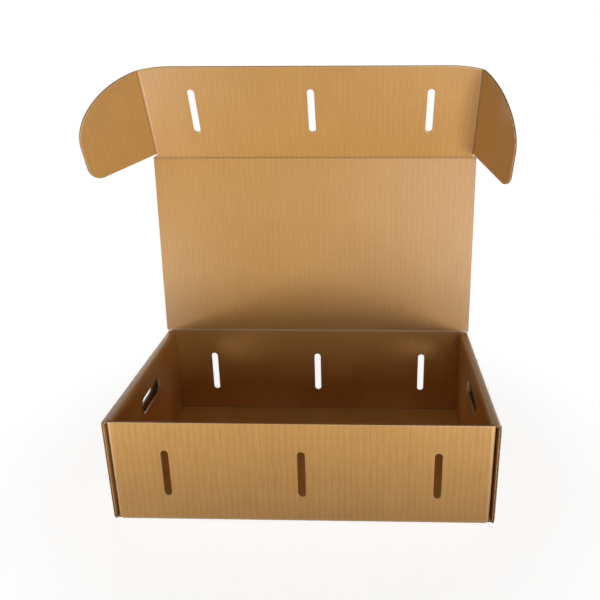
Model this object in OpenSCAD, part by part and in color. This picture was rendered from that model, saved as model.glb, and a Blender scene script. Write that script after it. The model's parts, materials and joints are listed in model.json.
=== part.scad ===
// Cardboard tray box with a hinged lid, folded from one sheet of corrugated board.
// The end walls are rolled over double, with the front and back walls' corner flaps between
// their layers. The lid turns on the back wall. Its front flap closes outside the front wall,
// and the flap's two ears slide into the pockets behind the end walls' outer panels.
// The origin is the centre of the underside, +Y points to the back wall and +Z up.

/* [Board] */
// Thickness of the corrugated board
board = 2.8; // [2:0.1:3.6]
// Gap between layers that lie on each other
layer_gap = 0.3; // [0.2:0.05:0.5]
// Gap between a crease and the panel that turns on it
crease_gap = 0.3; // [0.2:0.05:0.5]

/* [Tray] */
// Width over both end walls
box_w = 392; // [350:1:450]
// Depth over the front and back walls
box_d = 221; // [210:1:280]
// Height of the rolled end walls
box_h = 115.5; // [112:0.5:140]
// Distance from the end walls' top down to the front wall's top edge
front_drop = 0.5; // [0.3:0.1:3]
// Distance from the front and back faces to the edges of the outer end panels
edge_setback = 1.4; // [1.2:0.1:2.5]

/* [Corner flaps] */
// Length of a corner flap from the front or back face
corner_l = 72; // [40:1:74]
// Cut-off at the free corners of a corner flap
corner_chamfer = 9; // [4:1:20]

/* [Inner end panels] */
// Cut-off at the lower corners of an inner end panel
inner_chamfer = 12; // [4:1:20]
// Width of a lock tab in the floor
tab_w = 34; // [20:1:50]
// Distance between the two lock tabs of a panel
tab_pitch = 104; // [80:1:120]

/* [Slots] */
// Width of a slot
slot_w = 8; // [5:0.5:12]
// Length of a slot over its round ends
slot_l = 53; // [30:1:64]
// Distance between neighbouring slots
slot_pitch = 136; // [90:1:145]
// Height of the slots' middle above the underside
slot_z = 57; // [50:1:62]

/* [Hand holes] */
// Length of a hand hole over its round ends
hand_l = 62; // [40:1:64]
// Height of a hand hole
hand_h = 19; // [14:1:26]
// Height of the hand holes' middle above the underside
hand_z = 82; // [60:1:90]

/* [Lid] */
// How far the lid stands open, from closed at zero
lid_open = 94; // [0:1:180]
// Distance from an end wall's outer face to the lid's edge
lid_inset = 0.5; // [0:0.1:3]

/* [Front flap] */
// Height of the front flap from its crease
flap_h = 113; // [100:1:113]
// How far the front flap is folded down, from in line with the lid at zero
flap_fold = 25; // [0:1:90]
// Fall of the flap's free edge at its rounded corners
flap_fall = 4.5; // [2:0.5:10]
// Length of the flap's rounded corners along the free edge
flap_round_l = 38; // [20:1:60]

/* [Ears] */
// Play of an ear on each side of its pocket
ear_play = 0.2; // [0.1:0.05:0.5]
// Reach of an ear from its fold
ear_reach = 89; // [70:1:95]
// Distance from the flap's crease to the ear's near edge, at the fold
ear_start = 4.9; // [4.8:0.1:12]
// Slope of the ear's near edge
ear_taper = 2; // [2:0.5:8]
// Radius of the ear's near corner
ear_heel_r = 17; // [8:1:24]
// Distance from the fold to the start of the ear's curved shoulder
ear_shoulder_start = 3; // [2:1:20]
// Height of the ear's curved shoulder
ear_shoulder_h = 57.5; // [40:0.5:70]
// How far the left ear is folded in, from in line with the flap at zero
left_ear_fold = 53; // [0:1:90]
// How far the right ear is folded in, from in line with the flap at zero
right_ear_fold = 72; // [0:1:90]

/* [Hidden] */
kraft = [0.72, 0.53, 0.33];
$fn = 64;
arc_steps = 24;
// Length by which cuts run past the faces that they cut
overrun = 1;

half_w = box_w / 2;
half_d = box_d / 2;
crease_r = board / 2;
panel_start = crease_r + crease_gap;
front_top = box_h - front_drop;

// End wall layers from the outside in: outer panel, ear pocket, corner flap, inner panel
pocket_out = half_w - board;
corner_out = pocket_out - board - 2 * ear_play;
corner_in = corner_out - board;
inner_out = corner_in - layer_gap;
inner_in = inner_out - board;
strip_start = corner_out + layer_gap;

corner_low = board + layer_gap;
corner_high = box_h - board - layer_gap;
inner_foot = board + layer_gap;
inner_l = box_d - 2 * board - 2 * layer_gap;
tab_low = layer_gap;

lid_axis_y = half_d - crease_r;
lid_axis_z = box_h + layer_gap + crease_r;
lid_l = box_d + layer_gap;
lid_w = box_w - 2 * lid_inset;

ear_axis_x = corner_out + ear_play + crease_r;
ear_top = flap_h - flap_fall;
flap_slot_b = lid_axis_z - slot_z;
flap_round_r = (pow(flap_round_l, 2) + pow(flap_fall, 2)) / (2 * flap_fall);
flap_round_sweep = asin(flap_round_l / flap_round_r);

// Points along part of an ellipse, from one angle to another
function arc(centre, radii, from, to) = [
    for (step = [0:arc_steps])
        let (angle = from + (to - from) * step / arc_steps)
            [centre.x + radii.x * cos(angle), centre.y + radii.y * sin(angle)]
];

// Slot with round ends, drawn upright about its middle
module slot(length, width) {
    straight = length - width;
    square([width, straight], center = true);
    for (end = [-1, 1])
        translate([0, end * straight / 2])
            circle(d = width);
}

// The three slots of a wall, side by side
module slot_row() {
    for (place = [-1:1])
        translate([place * slot_pitch, 0])
            slot(slot_l, slot_w);
}

// Stands a section drawn in y and z along the box's width
module along_width(length) {
    rotate([90, 0, 90])
        linear_extrude(height = length, center = true)
            children();
}

// Stands a section drawn in x and z along the box's depth
module along_depth(length) {
    rotate([90, 0, 0])
        linear_extrude(height = length, center = true)
            children();
}

// Floor, front wall and back wall, with the round crease that carries the lid
module base_section() {
    difference() {
        union() {
            translate([-half_d, board])
                square([board, front_top - board]);
            translate([half_d - board, board])
                square([board, lid_axis_z - board]);
            translate([lid_axis_y, lid_axis_z])
                circle(crease_r);
            translate([board - half_d, 0])
                square([box_d - 2 * board, board]);
            for (end = [-1, 1])
                translate([end * (half_d - board), board])
                    circle(board);
        }
        translate([board - half_d, board])
            square([box_d - 2 * board, lid_axis_z]);
    }
}

// Plan of the front and back walls with the folds at their corners
module wall_plan() {
    square([2 * (corner_out - board), box_d], center = true);
    square([2 * corner_out, box_d - 2 * board], center = true);
    for (side = [-1, 1], end = [-1, 1])
        translate([side * (corner_out - board), end * (half_d - board)])
            circle(board);
}

// Corner flap seen from the side, from the front face to its free end
module corner_flap_outline() {
    polygon([
        [-half_d, corner_low],
        [corner_l - half_d - corner_chamfer, corner_low],
        [corner_l - half_d, corner_low + corner_chamfer],
        [corner_l - half_d, corner_high - corner_chamfer],
        [corner_l - half_d - corner_chamfer, corner_high],
        [-half_d, corner_high]
    ]);
}

module corner_flaps() {
    for (side = [-1, 1], end = [0, 1])
        translate([side * (corner_in + corner_out) / 2, 0, 0])
            along_width(board)
                mirror([end, 0])
                    corner_flap_outline();
}

module folded_walls() {
    intersection() {
        union() {
            along_width(2 * corner_out)
                base_section();
            corner_flaps();
        }
        linear_extrude(height = lid_axis_z + board)
            wall_plan();
    }
}

// Right outer end panel, from its fold at the floor to the start of the rolled-over top
module outer_panel_section() {
    difference() {
        union() {
            translate([corner_in, 0])
                square([pocket_out - corner_in, board]);
            translate([pocket_out, board])
                square([board, box_h - 2 * board]);
            translate([strip_start, box_h - board])
                square([pocket_out - strip_start, board]);
            for (fold_z = [board, box_h - board])
                translate([pocket_out, fold_z])
                    circle(board);
        }
        translate([corner_in, board])
            square([pocket_out - corner_in, box_h - 2 * board]);
        translate([corner_in, 0])
            square([corner_out - corner_in, board]);
    }
}

// Right inner end panel, from the rolled-over top down to the floor
module inner_panel_section() {
    difference() {
        union() {
            translate([inner_in, inner_foot])
                square([board, box_h - board - inner_foot]);
            translate([inner_out, box_h - board])
                square([pocket_out - inner_out, board]);
            translate([inner_out, box_h - board])
                circle(board);
        }
        translate([inner_out, inner_foot])
            square([pocket_out - inner_out, box_h - board - inner_foot]);
    }
}

// Inner end panel seen from the side, with its lower corners cut off
module inner_panel_outline() {
    half_l = inner_l / 2;
    polygon([
        [-half_l, box_h],
        [-half_l, inner_foot + inner_chamfer],
        [inner_chamfer - half_l, inner_foot],
        [half_l - inner_chamfer, inner_foot],
        [half_l, inner_foot + inner_chamfer],
        [half_l, box_h]
    ]);
}

// A block across the width of the lock tabs, from one face of the inner panel to the other
module tab_blocks(clear, low, high) {
    for (end = [-1, 1])
        translate([inner_in - clear, end * tab_pitch / 2 - tab_w / 2 - clear, low])
            cube([board + 2 * clear, tab_w + 2 * clear, high - low]);
}

module end_wall() {
    along_depth(box_d - 2 * edge_setback)
        outer_panel_section();
    intersection() {
        along_depth(inner_l)
            inner_panel_section();
        translate([(inner_in + pocket_out) / 2, 0, 0])
            along_width(pocket_out - inner_in)
                inner_panel_outline();
    }
    tab_blocks(0, tab_low, inner_foot + board);
}

module hand_hole() {
    translate([(inner_in + half_w) / 2, 0, hand_z])
        along_width(half_w - inner_in + 2 * overrun)
            rotate([0, 0, 90])
                slot(hand_l, hand_h);
}

module floor_slots() {
    tab_blocks(layer_gap, -overrun, board + overrun);
}

// Floor between the end walls' folds, under the walls and corner flaps
module floor_panel() {
    difference() {
        translate([-pocket_out, board - half_d, 0])
            cube([2 * pocket_out, box_d - 2 * board, board]);
        for (side = [0, 1])
            mirror([side, 0, 0])
                floor_slots();
    }
}

module tray() {
    color(kraft) {
        difference() {
            union() {
                difference() {
                    folded_walls();
                    for (side = [0, 1])
                        mirror([side, 0, 0])
                            floor_slots();
                }
                floor_panel();
                for (side = [0, 1])
                    mirror([side, 0, 0])
                        end_wall();
            }
            translate([0, 0, slot_z])
                along_depth(box_d + 2 * overrun)
                    slot_row();
            for (side = [0, 1])
                mirror([side, 0, 0])
                    hand_hole();
        }
    }
}

// Places what is drawn closed and flat, from the lid's hinge, on the lid as it stands
module on_lid() {
    translate([0, lid_axis_y, lid_axis_z])
        rotate([-lid_open, 0, 0])
            children();
}

// Places what is drawn flat, from the flap's crease, on the flap as it stands
module on_flap() {
    on_lid()
        translate([0, -lid_l, 0])
            rotate([flap_fold, 0, 0])
                children();
}

// Makes a board panel from an outline drawn upwards from its crease
module panel() {
    linear_extrude(height = board, center = true)
        mirror([0, 1])
            children();
}

module lid_section() {
    translate([-lid_l, -crease_r])
        square([lid_l - panel_start, board]);
    translate([-lid_l, 0])
        circle(crease_r);
}

module lid() {
    color(kraft)
        on_lid()
            along_width(lid_w)
                lid_section();
}

module front_flap_outline() {
    round_x = ear_axis_x - flap_round_l;
    round_b = flap_h - flap_round_r;
    radii = [flap_round_r, flap_round_r];
    difference() {
        polygon(concat(
            [[-ear_axis_x, panel_start], [ear_axis_x, panel_start]],
            arc([round_x, round_b], radii, 90 - flap_round_sweep, 90),
            arc([-round_x, round_b], radii, 90, 90 + flap_round_sweep)
        ));
        translate([0, flap_slot_b])
            slot_row();
    }
}

module front_flap() {
    color(kraft)
        on_flap() {
            panel()
                front_flap_outline();
            for (side = [-1, 1])
                translate([side * ear_axis_x, -ear_start, 0])
                    rotate([90, 0, 0])
                        cylinder(r = crease_r, h = ear_top - ear_start);
        }
}

// Ear drawn to the right of its fold, with its near edge next to the flap's crease
module ear_outline() {
    heel_x = ear_reach - ear_heel_r;
    near_b = ear_start + heel_x * tan(ear_taper);
    radii = [ear_heel_r, ear_heel_r];
    shoulder_l = ear_reach - ear_shoulder_start;
    shoulder = [ear_shoulder_start, ear_top - ear_shoulder_h];
    polygon(concat(
        [[panel_start, ear_start + panel_start * tan(ear_taper)]],
        arc([heel_x, near_b + ear_heel_r], radii, -90 + ear_taper, 0),
        arc(shoulder, [shoulder_l, ear_shoulder_h], 0, 90),
        [[panel_start, ear_top]]
    ));
}

module ear(fold) {
    translate([ear_axis_x, 0, 0])
        rotate([0, fold, 0])
            panel()
                ear_outline();
}

module left_ear() {
    color(kraft)
        on_flap()
            mirror([1, 0, 0])
                ear(left_ear_fold);
}

module right_ear() {
    color(kraft)
        on_flap()
            ear(right_ear_fold);
}

tray();
lid();
front_flap();
left_ear();
right_ear();
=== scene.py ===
import json
import math

import bpy
import numpy as np
from mathutils import Matrix, Vector
from mathutils.geometry import delaunay_2d_cdt


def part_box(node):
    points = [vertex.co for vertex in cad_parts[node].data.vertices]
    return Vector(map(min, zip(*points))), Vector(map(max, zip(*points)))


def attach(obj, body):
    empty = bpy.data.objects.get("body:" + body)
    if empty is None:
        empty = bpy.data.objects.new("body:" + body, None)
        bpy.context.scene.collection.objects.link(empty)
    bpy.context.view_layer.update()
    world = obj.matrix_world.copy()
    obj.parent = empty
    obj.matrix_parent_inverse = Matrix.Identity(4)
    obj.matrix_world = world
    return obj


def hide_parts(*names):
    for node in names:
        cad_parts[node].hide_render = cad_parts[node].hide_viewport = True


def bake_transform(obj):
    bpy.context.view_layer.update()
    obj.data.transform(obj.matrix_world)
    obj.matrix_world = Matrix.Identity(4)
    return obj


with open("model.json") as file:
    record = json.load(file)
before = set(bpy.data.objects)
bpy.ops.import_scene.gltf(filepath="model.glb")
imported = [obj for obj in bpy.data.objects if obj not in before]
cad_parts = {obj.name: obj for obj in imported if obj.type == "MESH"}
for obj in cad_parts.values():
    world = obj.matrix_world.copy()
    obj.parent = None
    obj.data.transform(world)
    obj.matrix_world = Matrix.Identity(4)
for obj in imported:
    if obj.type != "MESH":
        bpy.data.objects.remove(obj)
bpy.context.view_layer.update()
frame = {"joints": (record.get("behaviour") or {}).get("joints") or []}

# Floor, front wall and back wall
# One run of the single sheet that the box is folded from, creased at the floor's front and back edges.
# The board is two kraft liners glued to a fluted paper, and its flutes run up the walls.
board = 0.0028
layer_gap = 0.0003
ear_play = 0.0002
fold_r = 0.00165
joints = {joint["name"]: joint for joint in frame["joints"]}
lid_axis = Vector(joints["lid_hinge"]["pos_m"])
half_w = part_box("tray")[1].x
wall_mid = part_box("tray")[1].y - board / 2
corner_mid = half_w - 2.5 * board - 2 * ear_play
inner_mid = corner_mid - board - layer_gap
outer_mid = half_w - board / 2
box_h = lid_axis.z - board / 2 - layer_gap
front_drop = 0.0005
front_top = box_h - front_drop
seam = 0.000002
weld = 0.000001
near = 0.00001
crease_reach = 0.0026
wall_side = corner_mid - fold_r

flute_pitch = 0.0064
liner_paper = 0.0003
flute_paper = 0.0002
outer_washboard = 0.00009
inner_washboard = 0.00003
crease_press = 0.12
edge_press = 0.25
columns_a_flute = 6
arc_points = 13
fold_step = math.radians(18)
sharp_edge, edge_width = math.radians(40), 0.02
sharp_fold = math.radians(20)
square_fold = math.radians(89)
rim = 0.0011
rim_end = 0.0015
crease_end = 0.0031


class Value:
    """A node's output that takes part in sums: each operator adds its Math node."""

    def __init__(self, graph, socket):
        self.graph = graph
        self.socket = socket

    def other(self, name):
        return Value(self.graph, self.socket.node.outputs[name])

    def math(self, operation, *terms):
        return self.graph.node("ShaderNodeMath", {"operation": operation}, dict(enumerate(terms)))

    def __add__(self, term):
        return self.math("ADD", self, term)

    def __sub__(self, term):
        return self.math("SUBTRACT", self, term)

    def __mul__(self, term):
        return self.math("MULTIPLY", self, term)

    def __radd__(self, term):
        return self.math("ADD", term, self)

    def __rsub__(self, term):
        return self.math("SUBTRACT", term, self)

    def __rmul__(self, term):
        return self.math("MULTIPLY", term, self)

    def __rtruediv__(self, term):
        return self.math("DIVIDE", term, self)

    def above(self, level, width):
        """0 below the level and 1 above it, with a soft step of that width."""
        steps = {"From Min": level - width / 2, "From Max": level + width / 2}
        return self.graph.node(
            "ShaderNodeMapRange", {"interpolation_type": "SMOOTHSTEP"}, {"Value": self, **steps},
        )


class Graph:
    """A node tree and the one way in which nodes are added to it."""

    def __init__(self, tree):
        self.tree = tree
        self.tree.nodes.clear()

    def node(self, kind, settings={}, inputs={}, output=0):
        made = self.tree.nodes.new(kind)
        for name, setting in settings.items():
            if name == "stops":
                for stop, (place, colour) in zip(made.color_ramp.elements, setting):
                    stop.position = place
                    stop.color = (*colour, 1)
            else:
                setattr(made, name, setting)
        for name, given in inputs.items():
            if isinstance(given, (list, tuple)) and isinstance(given[0], Value):
                for one in given:
                    self.tree.links.new(one.socket, made.inputs[name])
            elif isinstance(given, Value):
                self.tree.links.new(given.socket, made.inputs[name])
            else:
                made.inputs[name].default_value = given
        return Value(self, made.outputs[output]) if made.outputs else None

    def attribute(self, name, kind="FLOAT"):
        return self.node("GeometryNodeInputNamedAttribute", {"data_type": kind}, {"Name": name})

    def scaled(self, vector, factor):
        return self.node("ShaderNodeVectorMath", {"operation": "SCALE"}, {0: vector, "Scale": factor})


def new_group(name, sockets):
    """A geometry tree with these named inputs, and a geometry output."""
    tree = bpy.data.node_groups.new(name, "GeometryNodeTree")
    for socket, kind in sockets.items():
        tree.interface.new_socket(socket, in_out="INPUT", socket_type="NodeSocket" + kind)
    tree.interface.new_socket("Geometry", in_out="OUTPUT", socket_type="NodeSocketGeometry")
    return tree


def paper_sheet_tree():
    """A closed sheet of paper, a height away from the surface that it follows."""
    tree = new_group("paper_sheet", {"Geometry": "Geometry", "Height": "Float", "Thickness": "Float"})
    graph = Graph(tree)
    given = graph.node("NodeGroupInput")
    height, thickness = given.other("Height"), given.other("Thickness")
    out = graph.attribute("out", "FLOAT_VECTOR")
    low = graph.node(
        "GeometryNodeSetPosition",
        inputs={"Geometry": given, "Offset": graph.scaled(out, height - thickness * 0.5)},
    )
    raised = graph.node("GeometryNodeExtrudeMesh", {"mode": "FACES"}, {
        "Mesh": low, "Offset Scale": 0, "Individual": False,
    })
    high = graph.node("GeometryNodeSetPosition", inputs={
        "Geometry": raised,
        "Selection": raised.other("Top"),
        "Offset": graph.scaled(out, thickness),
    })
    high = graph.node("GeometryNodeStoreNamedAttribute", {"data_type": "FLOAT", "domain": "FACE"}, {
        "Geometry": high, "Name": "cut", "Value": raised.other("Side"),
    })
    under = graph.node("GeometryNodeFlipFaces", inputs={"Mesh": low})
    both = graph.node("GeometryNodeJoinGeometry", inputs={"Geometry": [high, under]})
    closed = graph.node("GeometryNodeMergeByDistance", inputs={"Geometry": both, "Distance": weld})
    graph.node("NodeGroupOutput", inputs={"Geometry": closed})
    return tree


def corrugated_tree():
    """Two liners and the fluted paper between them, along the surface that a folded blank gives."""
    tree = new_group("corrugated_board", {
        "Geometry": "Geometry", "Board": "Float", "Liner": "Float", "Fluting": "Float", "Pitch": "Float",
        "Outer washboard": "Float", "Inner washboard": "Float",
        "Crease press": "Float", "Edge press": "Float",
        "Liner paper": "Material", "Fluting paper": "Material",
    })
    graph = Graph(tree)
    given = graph.node("NodeGroupInput")
    sheet = paper_sheet_tree()

    def paper(height, thickness):
        return graph.node("GeometryNodeGroup", {"node_tree": sheet}, {
            "Geometry": given, "Height": height, "Thickness": thickness,
        })

    liner, fluting = given.other("Liner"), given.other("Fluting")
    pressed = graph.attribute("crease") * given.other("Crease press")
    pressed += graph.attribute("rim") * given.other("Edge press")
    half = given.other("Board") * 0.5 * (1 - pressed)
    across = graph.node("ShaderNodeSeparateXYZ", inputs={"Vector": graph.attribute("flat", "FLOAT_VECTOR")})
    turn = math.tau / given.other("Pitch")
    phase = across * turn
    wave = phase.math("SINE", phase)
    liner_mid = half - liner * 0.5
    outer = paper(liner_mid - given.other("Outer washboard") * 0.5 * (1 - wave), liner)
    inner = paper(given.other("Inner washboard") * 0.5 * (1 + wave) - liner_mid, liner)
    inner = graph.node("GeometryNodeStoreNamedAttribute", {"data_type": "FLOAT", "domain": "FACE"}, {
        "Geometry": inner, "Name": "inner", "Value": 1,
    })
    rise = half - liner - fluting * 0.5 - seam
    slope = rise * turn * phase.math("COSINE", phase)
    stretch = phase.math("SQRT", 1 + slope * slope)
    core = paper(rise * wave, fluting * stretch)
    core = graph.node("GeometryNodeStoreNamedAttribute", {"data_type": "BOOLEAN", "domain": "FACE"}, {
        "Geometry": core, "Name": "core", "Value": True,
    })
    board_geometry = graph.node("GeometryNodeJoinGeometry", inputs={"Geometry": [outer, inner, core]})
    smooth = graph.node("GeometryNodeSetShadeSmooth", {"domain": "FACE"}, {
        "Geometry": board_geometry, "Shade Smooth": True,
    })
    angle = graph.node("GeometryNodeInputMeshEdgeAngle")
    sharp = graph.node("GeometryNodeSetShadeSmooth", {"domain": "EDGE"}, {
        "Geometry": smooth, "Selection": angle.above(sharp_edge, edge_width), "Shade Smooth": False,
    })
    real = graph.node("GeometryNodeRealizeInstances", inputs={"Geometry": sharp})
    faced = graph.node("GeometryNodeSetMaterial", inputs={
        "Geometry": real, "Material": given.other("Liner paper"),
    })
    cored = graph.node("GeometryNodeSetMaterial", inputs={
        "Geometry": faced,
        "Selection": graph.attribute("core", "BOOLEAN"),
        "Material": given.other("Fluting paper"),
    })
    graph.node("NodeGroupOutput", inputs={"Geometry": cored})
    return tree


def kraft(name, dark, light, raw):
    """Unbleached kraft paper: clouds, flocs, fibres, streaks and specks, and a faint line over each flute.
    It is paler over a rubbed ridge and at cut edges. Painted shade darkens the valley of a fold, and a
    painted highlight makes a flat score paler."""
    material = bpy.data.materials.new(name)
    material.use_nodes = True
    graph = Graph(material.node_tree)
    place = graph.node("ShaderNodeTexCoord", output="Object")

    def mark(attribute, output="Fac"):
        return graph.node("ShaderNodeAttribute", {"attribute_name": attribute}, output=output)

    def noise(vector, scale, detail):
        sizes = {"Vector": vector, "Scale": scale, "Detail": detail}
        return graph.node("ShaderNodeTexNoise", inputs=sizes) - 0.5

    def stretched(scale):
        return graph.node("ShaderNodeMapping", inputs={"Vector": flat, "Scale": scale})

    def specks(scale, size, rarity):
        spots = graph.node("ShaderNodeTexVoronoi", inputs={"Vector": place, "Scale": scale})
        chance = graph.node("ShaderNodeSeparateColor", inputs={"Color": spots.other("Color")})
        return (1 - spots.above(size, size)) * chance.above(rarity, 0.01)

    flat = mark("flat", "Vector")
    across = graph.node("ShaderNodeSeparateXYZ", inputs={"Vector": flat})
    trough = 0.5 - 0.5 * across.math("SINE", across * (math.tau / flute_pitch))
    line = trough.math("POWER", trough, 6)
    depth = (0.4 + noise(stretched((150, 8, 1)), 1, 1) * 3).math("MAXIMUM", 0)
    clouds = noise(place, 14, 3)
    flocs = noise(place, 420, 3)
    fibres = noise(stretched((330, 2600, 1)), 1, 2)
    streaks = noise(stretched((800, 40, 1)), 1, 2)
    bands = noise(stretched((60, 2.5, 1)), 1, 1)
    inside, fold = mark("inner"), mark("fold")
    drawn = fibres * 0.4 + streaks * 0.8 + bands * 0.25 - line * depth * 0.4
    tone = 0.5 + clouds * 0.4 + flocs * 0.35 + drawn * (1 - inside * 0.5)
    colour = graph.node("ShaderNodeValToRGB", {"stops": [(0, dark), (1, light)]}, {"Fac": tone})
    crease = mark("crease")
    # Paler where the outside of a crease is rubbed, which is wear, and a painted highlight along a flat
    # score, where the crease's ridge would catch the light.
    wear_and_score_highlight = (crease - fold * inside).above(0.6, 0.6) * 0.2 + (crease - fold).above(0.5, 0.6) * 0.8
    pale = mark("rim") * 0.3 + mark("cut") * 0.65 + specks(50, 0.045, 0.9) * 0.6 + wear_and_score_highlight
    colour = graph.node(
        "ShaderNodeMix", {"data_type": "RGBA"}, {"Factor": pale, 6: colour, 7: (*raw, 1)}, output=2,
    )
    # Dark specks, and painted shade along the inside valley of a sharp fold, both mixed toward a deep
    # brown.
    speck_and_shade_brown = [channel * 0.35 for channel in dark]
    specks_and_fold_shade = specks(120, 0.06, 0.8) * 0.15 + inside * fold.above(0.8, 0.3) * (0.45 + trough * 0.15)
    colour = graph.node(
        "ShaderNodeMix", {"data_type": "RGBA"}, {"Factor": specks_and_fold_shade, 6: colour, 7: (*speck_and_shade_brown, 1)}, output=2,
    )
    bump = graph.node("ShaderNodeBump", inputs={
        "Height": flocs * 0.5 + fibres, "Strength": 0.2, "Distance": 0.0001,
    })
    shader = graph.node("ShaderNodeBsdfPrincipled", inputs={
        "Base Color": colour, "Roughness": 0.4 + flocs * 0.12, "Specular IOR Level": 0.6, "Normal": bump,
    })
    graph.node("ShaderNodeOutputMaterial", inputs={"Surface": shader})
    return material


class Section:
    """The line that a sheet follows once it is folded: straight runs and round folds in one plane."""

    def __init__(self, start, heading, runs):
        self.starts, self.headings, self.breaks, self.bends = [], [], [0.0], []
        point = np.array(start, float)
        for length, turn in runs:
            self.starts.append(point)
            self.headings.append(heading)
            self.bends.append(turn / length)
            point = point + length * np.sinc(turn / math.tau) * np.array(
                [math.cos(heading + turn / 2), math.sin(heading + turn / 2)]
            )
            heading += turn
            self.breaks.append(self.breaks[-1] + length)
        self.length = self.breaks[-1]

    def at(self, along):
        """Points of the line and normals to its right, at distances along it."""
        run = np.clip(np.searchsorted(self.breaks, along, "right") - 1, 0, len(self.bends) - 1)
        rest = along - np.array(self.breaks)[run]
        heading = np.array(self.headings)[run]
        half_turn = np.array(self.bends)[run] * rest / 2
        chord = rest * np.sinc(half_turn / math.pi)
        middle, last = heading + half_turn, heading + 2 * half_turn
        points = np.array(self.starts)[run] + np.stack([chord * np.cos(middle), chord * np.sin(middle)], 1)
        return points, np.stack([np.sin(last), -np.cos(last)], 1)

    def folds(self):
        return [
            (low, high, bend) for low, high, bend in zip(self.breaks, self.breaks[1:], self.bends) if bend
        ]

    def rows(self):
        """Distances at which the sheet needs a line of points: along each fold and beside its crease.
        The folds that aren't square turn when the box is closed, and need more."""
        rows = []
        for low, high, bend in self.folds():
            turn = abs(bend) * (high - low)
            rows.extend(np.linspace(low, high, max(2, round(turn / fold_step)) + 1))
            beside = [] if turn > square_fold else [crease_reach / 2]
            for reach in [*beside, crease_reach, crease_end]:
                rows.extend([low - reach, high + reach])
        return [row for row in rows if 0 < row < self.length]

    def creases(self, along):
        """1 in a crease, falling to 0 beside it where the rule pressed the board.
        Then the same for sharp folds alone."""
        crease, fold = np.zeros(len(along)), np.zeros(len(along))
        for low, high, bend in self.folds():
            apart = np.maximum(np.maximum(low - along, along - high), 0) / crease_reach
            press = np.clip(1 - apart, 0, 1)
            crease = np.maximum(crease, press)
            fold = np.maximum(fold, press * min(1, abs(bend) * (high - low) / sharp_fold))
        return crease, fold


def inset(ring, distance):
    """A ring moved to its left by a distance, its corners mitred."""
    points = np.array(ring)
    before, after = points - np.roll(points, 1, 0), np.roll(points, -1, 0) - points
    left = []
    for edge in (before, after):
        left.append(np.stack([-edge[:, 1], edge[:, 0]], 1) / np.linalg.norm(edge, axis=1)[:, None])
    share = distance / (1 + (left[0] * left[1]).sum(1))
    return points + (left[0] + left[1]) * share[:, None]


def inside(ring, points):
    """Which points lie inside a ring."""
    found = np.zeros(len(points), bool)
    for (ax, ay), (bx, by) in zip(ring, np.roll(ring, -1, 0)):
        crosses = (ay > points[:, 1]) != (by > points[:, 1])
        with np.errstate(divide="ignore", invalid="ignore"):
            found ^= crosses & (points[:, 0] < (bx - ax) * (points[:, 1] - ay) / (by - ay) + ax)
    return found


def die_cut(outline, holes, columns, rows):
    """Cuts a flat blank with its holes, divided along the flutes and beside its creases and cut edges."""
    rings = [np.array(outline), *(np.array(hole) for hole in holes)]
    points, edges = [], []
    for ring in [*rings, *(inset(ring, reach) for reach in (rim, rim_end) for ring in rings)]:
        first, count = len(points), len(ring)
        points.extend(Vector(point) for point in ring)
        edges.extend((first + i, first + (i + 1) % count) for i in range(count))
    low, high = rings[0].min(0) - rim, rings[0].max(0) + rim
    lines = [((column, low[1]), (column, high[1])) for column in columns]
    lines += [((low[0], row), (high[0], row)) for row in rows]
    for line in lines:
        edges.append((len(points), len(points) + 1))
        points.extend(Vector(end) for end in line)
    valid_faces = 4
    found, _, faces, *_ = delaunay_2d_cdt(points, edges, [], valid_faces, weld)
    flat = np.array([point[:] for point in found])
    middles = np.array([flat[face].mean(0) for face in faces])
    kept = inside(rings[0], middles)
    for hole in rings[1:]:
        kept &= ~inside(hole, middles)
    return flat, [face for face, keep in zip(faces, kept) if keep]


def spaced(low, high, step):
    """Multiples of a step between two limits."""
    return step * np.arange(math.ceil(low / step), math.floor(high / step) + 1)


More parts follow.
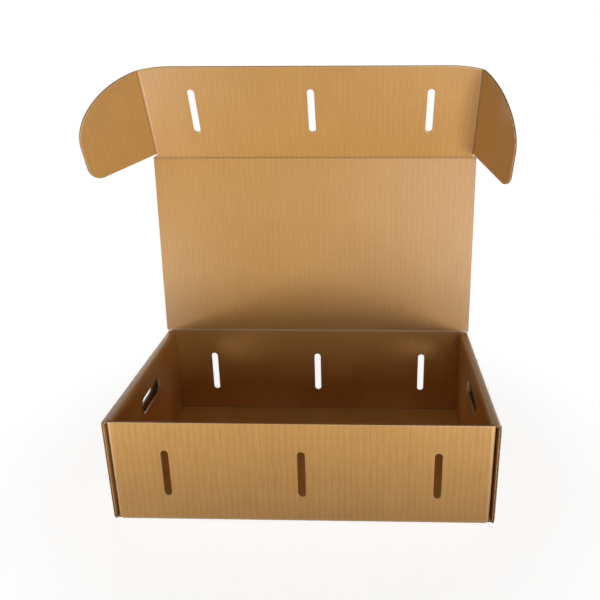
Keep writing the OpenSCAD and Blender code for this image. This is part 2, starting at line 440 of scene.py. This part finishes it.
class Blank:
    """Panels cut from the sheet and folded to their places, as one surface with no thickness."""

    def __init__(self):
        self.points, self.faces, self.marks = [], [], []
        self.count = 0

    def panel(self, outline, section, sweep, right, up, holes=(), seams=(), flutes=None, origin=(0, 0, 0)):
        """Folds a blank drawn in (distance along the sweep, distance along the section).
        flutes is where the flutes are counted from if they follow the sweep and not the section."""
        low, high = np.min(outline, 0), np.max(outline, 0)
        step = flute_pitch / columns_a_flute
        if flutes is None:
            columns, rows = spaced(low[0], high[0], step), section.rows()
        else:
            start = abs(flutes)
            columns = []
            rows = [*(spaced(low[1] + start, high[1] + start, step) - start), *section.rows()]
        flat, faces = die_cut(outline, holes, columns, rows)
        used, faces_from = np.unique(np.concatenate(faces), return_inverse=True)
        flat = flat[used]
        sizes = [len(face) for face in faces]
        faces = np.split(faces_from, np.cumsum(sizes)[:-1])
        line, normal = section.at(flat[:, 1])
        axes = np.array([right, up], float)
        points = np.array(origin) + line @ axes + flat[:, :1] * np.array(sweep, float)
        out = normal @ axes
        one = points[faces[0]]
        if np.dot(np.cross(one[1] - one[0], one[2] - one[1]), out[faces[0][0]]) < 0:
            faces = [face[::-1] for face in faces]
        rim_mark = np.zeros(len(flat))
        pairs = {}
        for face in faces:
            for a, b in zip(face, np.roll(face, -1)):
                pairs[frozenset((a, b))] = pairs.get(frozenset((a, b)), 0) + 1
        for pair, uses in pairs.items():
            ends = flat[list(pair)]
            if uses == 1 and not any(np.all(abs(ends[:, axis] - place) < near) for axis, place in seams):
                rim_mark[list(pair)] = 1
        if flutes is None:
            across, along = flat.T
        else:
            across, along = math.copysign(1, flutes) * (flat[:, 1] + start), flat[:, 0]
        self.points.append(points)
        self.faces.extend(face + self.count for face in faces)
        crease, fold = section.creases(flat[:, 1])
        self.marks.append((out, np.stack([across, along, 0 * across], 1), crease, fold, rim_mark))
        self.count += len(points)

    def board(self, name):
        """The blank as corrugated board, made a plain mesh."""
        mesh = bpy.data.meshes.new(name)
        mesh.from_pydata(np.concatenate(self.points), [], [face.tolist() for face in self.faces])
        kinds = {
            "out": "FLOAT_VECTOR", "flat": "FLOAT_VECTOR",
            "crease": "FLOAT", "fold": "FLOAT", "rim": "FLOAT",
        }
        for (mark, kind), parts in zip(kinds.items(), zip(*self.marks)):
            values = np.concatenate(parts).astype(np.float32).ravel()
            field = "vector" if kind == "FLOAT_VECTOR" else "value"
            mesh.attributes.new(mark, kind, "POINT").data.foreach_set(field, values)
        piece = bpy.data.objects.new(name, mesh)
        bpy.context.scene.collection.objects.link(piece)
        maker = piece.modifiers.new("board", "NODES")
        maker.node_group = corrugated
        sizes = {
            "Board": board, "Liner": liner_paper, "Fluting": flute_paper, "Pitch": flute_pitch,
            "Outer washboard": outer_washboard, "Inner washboard": inner_washboard,
            "Crease press": crease_press, "Edge press": edge_press,
            "Liner paper": liner_kraft, "Fluting paper": fluting_kraft,
        }
        for item in corrugated.interface.items_tree:
            if item.in_out == "INPUT" and item.name in sizes:
                maker[item.identifier] = sizes[item.name]
        made = piece.evaluated_get(bpy.context.evaluated_depsgraph_get())
        solid = bpy.data.meshes.new_from_object(made)
        piece.modifiers.remove(maker)
        piece.data = solid
        solid.name = name
        solid.attributes.remove(solid.attributes["out"])
        return piece


def slot(centre, length, width):
    """Ring of a slot with round ends, its length along the first direction, the sheet on its left."""
    half = (length - width) / 2
    ring = []
    for side in (1, -1):
        for turn in np.linspace(0, math.pi, arc_points):
            ring.append((
                centre[0] + side * half + side * width / 2 * math.sin(turn),
                centre[1] + side * width / 2 * math.cos(turn),
            ))
    return ring


def upright(ring):
    """The same ring with its length along the second direction."""
    return [(b, a) for a, b in ring][::-1]


liner_kraft = kraft("kraft_liner", (0.45, 0.21, 0.045), (0.67, 0.365, 0.10), (0.72, 0.52, 0.30))
fluting_kraft = kraft("kraft_fluting", (0.34, 0.17, 0.05), (0.54, 0.31, 0.12), (0.64, 0.45, 0.25))
corrugated = corrugated_tree()

slot_w = 0.008
slot_l = 0.053
slot_pitch = 0.136
slot_z = 0.057
tab_w = 0.034
tab_pitch = 0.104
X, Y, Z = Vector((1, 0, 0)), Vector((0, 1, 0)), Vector((0, 0, 1))
quarter = math.pi / 2
fold_l = fold_r * quarter
floor_l = 2 * (wall_mid - fold_r)
fold_z = board / 2 + fold_r
back_top = lid_axis.z - crease_reach - seam
base = Section((-wall_mid, front_top), -quarter, [
    (front_top - fold_z, 0), (fold_l, quarter), (floor_l, 0), (fold_l, quarter), (back_top - fold_z, 0),
])
floor_start = front_top - fold_z + fold_l
floor_mid = floor_start + floor_l / 2
back_start = floor_start + floor_l + fold_l
side = wall_side - seam
notch = inner_mid - board / 2 - layer_gap
half_slot = tab_w / 2 + layer_gap
notches = [floor_mid + end * tab_pitch / 2 + edge * half_slot for end in (-1, 1) for edge in (-1, 1)]
right_side = [(side, 0)]
for start, end in (notches[:2], notches[2:]):
    right_side += [(side, start), (notch, start), (notch, end), (side, end)]
right_side += [(side, base.length)]
base_outline = right_side + [(-a, b) for a, b in right_side[::-1]]
base_slots = [
    upright(slot((b, place * slot_pitch), slot_l, slot_w))
    for place in (-1, 0, 1)
    for b in (front_top - slot_z, back_start + slot_z - fold_z)
]
tray_blank = Blank()
tray_blank.panel(
    base_outline, base, X, Y, Z, holes=base_slots, seams=[(0, side), (0, -side), (1, base.length)],
)

# Corner flaps
# The ends of the front and back walls, creased and folded in between the layers of the end walls.
# Their free corners are cut off, so that they slide in under the rolled-over tops.
# The folds of the back ones reach up to the lid's corners.
corner_l = 0.072
corner_chamfer = 0.009
corner_rise = 0.0001
corner_low = board + layer_gap
corner_high = box_h - board - layer_gap
corner = Section((wall_side, -wall_mid), 0, [
    (fold_l, quarter), (corner_l - board / 2 - fold_r, 0),
])
corner_top = box_h + corner_rise
back_step = [(back_top, 0), (back_top, layer_gap), (corner_top, layer_gap), (corner_top, fold_l)]
for wall_step, depth in (([(front_top, 0), (front_top, fold_l)], Y), (back_step, -Y)):
    corner_outline = [
        (corner_low, 0), *wall_step, (corner_high, fold_l),
        (corner_high, corner.length - corner_chamfer), (corner_high - corner_chamfer, corner.length),
        (corner_low + corner_chamfer, corner.length), (corner_low, corner.length - corner_chamfer),
    ]
    for hand in (1, -1):
        tray_blank.panel(
            corner_outline, corner, Z, hand * X, depth, seams=[(1, 0)], flutes=hand * wall_side,
        )

# Rolled end walls
# Each is folded up from the floor, rolled over at the top and down inside over the corner flaps.
# Two lock tabs at its foot go into slots in the floor, and a hand hole is cut through both layers.
edge_setback = 0.0014
inner_chamfer = 0.012
tab_low = layer_gap
hand_l, hand_h, hand_z = 0.062, 0.019, 0.082
panel_end = wall_mid + board / 2 - edge_setback
inner_end = wall_mid - board / 2 - layer_gap
roll_z = box_h - board / 2 - fold_r
strip_l = outer_mid - inner_mid - 2 * fold_r
end_wall = Section((wall_side, board / 2), 0, [
    (outer_mid - fold_r - wall_side, 0), (fold_l, quarter), (roll_z - fold_z, 0), (fold_l, quarter),
    (strip_l, 0), (fold_l, quarter), (roll_z - tab_low, 0),
])
_, panel_low, panel_foot, _, strip_low, _, inner_high, inner_low = end_wall.breaks
inner_foot = inner_low - (board + layer_gap - tab_low)
strip_step = strip_low + strip_l / 2
end_side = [
    (inner_end, 0), (inner_end, panel_low), (panel_end, panel_low), (panel_end, strip_step),
    (inner_end, strip_step), (inner_end, inner_foot - inner_chamfer),
    (inner_end - inner_chamfer, inner_foot),
]
for edge in (1, -1):
    tab_edge = (tab_pitch + edge * tab_w) / 2
    end_side += [(tab_edge, inner_foot), (tab_edge, inner_low)][::edge]
end_outline = end_side + [(-a, b) for a, b in end_side[::-1]]
hand_holes = [
    slot((0, b), hand_l, hand_h)
    for b in (panel_foot + hand_z - fold_z, inner_high + roll_z - hand_z)
]
for hand in (1, -1):
    tray_blank.panel(
        end_outline, end_wall, Y, hand * X, Z, holes=hand_holes, seams=[(1, 0)], flutes=hand * wall_side,
    )
tray = tray_blank.board("tray_board")
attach(tray, "tray")
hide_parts("tray")

# Lid
# The panel above the back wall, hinged on a pressed crease and a little wider than that wall.
# It stands just past upright, so its crease is almost flat.
flap_axis = Vector(joints["flap_fold"]["pos_m"])
crease_r = 0.004
panel_start = board / 2 + layer_gap


def rest_fold(joint):
    """How far a panel is folded in, from in line with its neighbour."""
    return -math.radians(joints[joint]["range_deg"][0])


def crease_runs(before, turn, radius, after):
    """Runs of a section that meet in a round crease, with their lengths up to its axis."""
    tangent = radius * abs(math.tan(turn / 2))
    return [(before - tangent, 0), (radius * abs(turn), turn), (after - tangent, 0)]


lid_turn = quarter - rest_fold("lid_hinge")
lid_way = (flap_axis - lid_axis).normalized()
lid_l = (flap_axis - lid_axis).length
lid_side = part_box("lid")[1].x
lid_start = lid_axis.z - crease_reach
lid_corner = crease_reach - board / 2
lid_runs = crease_runs(crease_reach, lid_turn, crease_r, lid_l - crease_reach - seam)
lid_section = Section((lid_axis.y, lid_start), quarter, lid_runs)
lid_edge = [
    (wall_side, 0), (wall_side, lid_corner), (lid_side, lid_corner), (lid_side, lid_section.length),
]
lid_blank = Blank()
lid_blank.panel(
    lid_edge + [(-a, b) for a, b in lid_edge[::-1]], lid_section, X, Y, Z,
    seams=[(1, 0), (1, lid_section.length)],
)
lid = lid_blank.board("lid_board")
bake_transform(lid)
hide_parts("lid")

# Front flap
# The panel beyond the lid, which closes over the front wall.
# Its slots then lie on the front wall's slots.
# Its free edge falls in a slow curve to the two folds that carry the ears.
flap_h, flap_fall, flap_round_l = 0.113, 0.0045, 0.038
ear_start = 0.0049
ear_axis = Vector(joints["right_ear_fold"]["pos_m"])
flap_heading = quarter + lid_turn + rest_fold("flap_fold")
flap_way = Vector((0, math.cos(flap_heading), math.sin(flap_heading)))
flap_runs = crease_runs(crease_reach, rest_fold("flap_fold"), crease_r, flap_h)
flap_origin = flap_axis - crease_reach * lid_way
flap_section = Section((flap_origin.y, flap_origin.z), quarter + lid_turn, flap_runs)
crease_b = flap_section.length - flap_h
round_r = (flap_round_l ** 2 + flap_fall ** 2) / (2 * flap_fall)


def free_edge(x):
    """Height of the flap's free edge above its crease."""
    past = max(0, abs(x) - (ear_axis.x - flap_round_l))
    return flap_h - round_r + math.sqrt(round_r ** 2 - past ** 2)


ear_seam = ear_axis.x - crease_reach
flap_edge = [
    (lid_side, 0), (lid_side, crease_b), (ear_axis.x, crease_b + panel_start),
    (ear_axis.x, crease_b + ear_start), (ear_seam, crease_b + ear_start),
]
curve_end = ear_axis.x - flap_round_l
flap_edge += [(x, crease_b + free_edge(x)) for x in np.linspace(ear_seam, curve_end, arc_points)]
flap_slots = [
    upright(slot((crease_b + lid_axis.z - slot_z, place * slot_pitch), slot_l, slot_w))
    for place in (-1, 0, 1)
]
flap_blank = Blank()
flap_blank.panel(
    flap_edge + [(-a, b) for a, b in flap_edge[::-1]], flap_section, X, Y, Z, holes=flap_slots,
    seams=[(1, 0), (0, ear_seam), (0, -ear_seam)],
)
flap = flap_blank.board("front_flap_board")
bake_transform(flap)
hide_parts("front_flap")

# Ears
# Two wings creased to the ends of the front flap.
# They tuck into the pockets behind the end walls' outer panels.
# A long shoulder curve and a round heel let them slide in.
ear_reach, ear_taper, ear_heel_r = 0.089, math.radians(2), 0.017
ear_shoulder_start, ear_shoulder_h, shoulder_points = 0.003, 0.0575, 33
flap_in = X.cross(flap_way)


def ear_outline(crease_b):
    """Outline of an ear as (height above the flap's crease, distance past its seam)."""
    heel = ear_reach - ear_heel_r
    heel_a = ear_start + heel * math.tan(ear_taper) + ear_heel_r
    ear_top = flap_h - flap_fall
    shoulder_a, shoulder_l = ear_top - ear_shoulder_h, ear_reach - ear_shoulder_start
    points = [(ear_start, 0), (ear_start, crease_b)]
    for turn in np.linspace(ear_taper, quarter, arc_points):
        points.append((heel_a - ear_heel_r * math.cos(turn), crease_b + heel + ear_heel_r * math.sin(turn)))
    for turn in np.linspace(0, quarter, shoulder_points):
        points.append((
            shoulder_a + ear_shoulder_h * math.sin(turn),
            crease_b + ear_shoulder_start + shoulder_l * math.cos(turn),
        ))
    points += [(ear_top, crease_b), (free_edge(ear_seam), 0)]
    return points[::-1]


for hand, name in ((-1, "left_ear"), (1, "right_ear")):
    fold = rest_fold(name + "_fold")
    ear_runs = crease_runs(crease_reach - seam, fold, fold_r, ear_reach + rim)
    ear_section = Section((ear_seam + seam, 0), 0, ear_runs)
    ear_blank = Blank()
    ear_blank.panel(
        ear_outline(ear_section.length - ear_reach - rim), ear_section, flap_way, hand * X, flap_in,
        seams=[(1, 0)], flutes=hand * ear_seam, origin=flap_axis,
    )
    ear = ear_blank.board(name + "_board")
    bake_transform(ear)
    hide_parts(name)

# Camera
# Stands where the photograph was taken from.
focal_px, centre_px = 629.597, (351.411, 268.573)
image_px = 600
camera_place = (0.064698, -0.639812, 0.451338)
pitch, yaw, roll = (math.radians(angle) for angle in (-18.464, -1.505, -0.226))
lens = bpy.data.cameras.new("camera")
lens.lens = focal_px / image_px * lens.sensor_width
lens.shift_x = (image_px / 2 - centre_px[0]) / image_px
lens.shift_y = (centre_px[1] - image_px / 2) / image_px
camera = bpy.data.objects.new("camera", lens)
bpy.context.scene.collection.objects.link(camera)
camera.matrix_world = (
    Matrix.Translation(camera_place) @ Matrix.Rotation(-yaw, 4, "Z")
    @ Matrix.Rotation(quarter + pitch, 4, "X") @ Matrix.Rotation(roll, 4, "Z")
)
bpy.context.scene.camera = camera
bpy.context.scene.view_settings.view_transform = "Standard"

# Studio
# A small pale floor that runs out into a white background.
# Soft lamps stand low in front of the box, where they shine past the floor's edge, and behind it.
floor_size = 0.9
floor_z = -0.0002
floor_grey = 0.4
floor_glow = 0.85
fade_place, fade_width = 0.33, 0.2
fill_light = 0.02
floor_mesh = bpy.data.meshes.new("floor")
corners = [(-1, -1), (1, -1), (1, 1), (-1, 1)]
floor_points = [(x * floor_size / 2, y * floor_size / 2, floor_z) for x, y in corners]
floor_mesh.from_pydata(floor_points, [], [(0, 1, 2, 3)])
floor = bpy.data.objects.new("floor", floor_mesh)
bpy.context.scene.collection.objects.link(floor)


def seen(graph):
    """1 for rays that show the background to the camera, straight or by reflection."""
    path = graph.node("ShaderNodeLightPath", output="Is Camera Ray")
    seen = path.math("MAXIMUM", path, path.other("Is Glossy Ray"))
    return path.math("MAXIMUM", seen, path.other("Is Transmission Ray"))


floor_white = bpy.data.materials.new("floor_white")
floor_white.use_nodes = True
graph = Graph(floor_white.node_tree)
matt = graph.node("ShaderNodeBsdfDiffuse", inputs={"Color": (floor_grey, floor_grey, floor_grey, 1)})
glow = graph.node("ShaderNodeEmission", inputs={"Color": (1, 1, 1, 1), "Strength": floor_glow})
lifted = graph.node("ShaderNodeAddShader", inputs={0: matt, 1: glow})
plain = graph.node("ShaderNodeEmission", inputs={"Color": (1, 1, 1, 1), "Strength": 1})
place = graph.node("ShaderNodeTexCoord", output="Object")
away = graph.node("ShaderNodeVectorMath", {"operation": "LENGTH"}, {0: place}, output="Value")
far = away.above(fade_place, fade_width)
shown = graph.node("ShaderNodeMixShader", inputs={0: far, 1: lifted, 2: plain})
shown = graph.node("ShaderNodeMixShader", inputs={0: seen(graph), 1: matt, 2: shown})
graph.node("ShaderNodeOutputMaterial", inputs={"Surface": shown})
floor_mesh.materials.append(floor_white)

world = bpy.data.worlds.new("studio")
world.use_nodes = True
graph = Graph(world.node_tree)
fill = graph.node("ShaderNodeBackground", inputs={"Color": (1, 1, 1, 1), "Strength": fill_light})
white = graph.node("ShaderNodeBackground", inputs={"Color": (1, 1, 1, 1), "Strength": 1})
shown = graph.node("ShaderNodeMixShader", inputs={0: seen(graph), 1: fill, 2: white})
graph.node("ShaderNodeOutputWorld", inputs={"Surface": shown})
bpy.context.scene.world = world

lamps = {
    "right_low": ((0.8, -1.2, -0.15), 0.4, 12.5),
    "left_low": ((-1.0, -1.2, -0.3), 0.4, 4.5),
    "left_near": ((-0.5, -0.35, 0.03), 0.15, 1.2),
    "right_near": ((0.5, -0.35, 0.03), 0.15, 0.5),
    "front": ((0.36, -1.3, 0.33), 0.4, 3.4),
    "top": ((0, -0.3, 1.5), 0.6, 0.8),
    "back_left": ((-0.8, 1.2, 0.12), 0.6, 7),
    "back_right": ((0.8, 1.2, 0.12), 0.6, 7),
}
aim = Vector((0, 0, 0.2))
for name, (place, size, power) in lamps.items():
    light = bpy.data.lights.new(name, "AREA")
    light.size = size
    light.energy = power
    lamp = bpy.data.objects.new(name, light)
    lamp.location = place
    lamp.visible_camera = False
    lamp.rotation_mode = "QUATERNION"
    lamp.rotation_quaternion = (aim - Vector(place)).to_track_quat("-Z", "Y")
    bpy.context.scene.collection.objects.link(lamp)
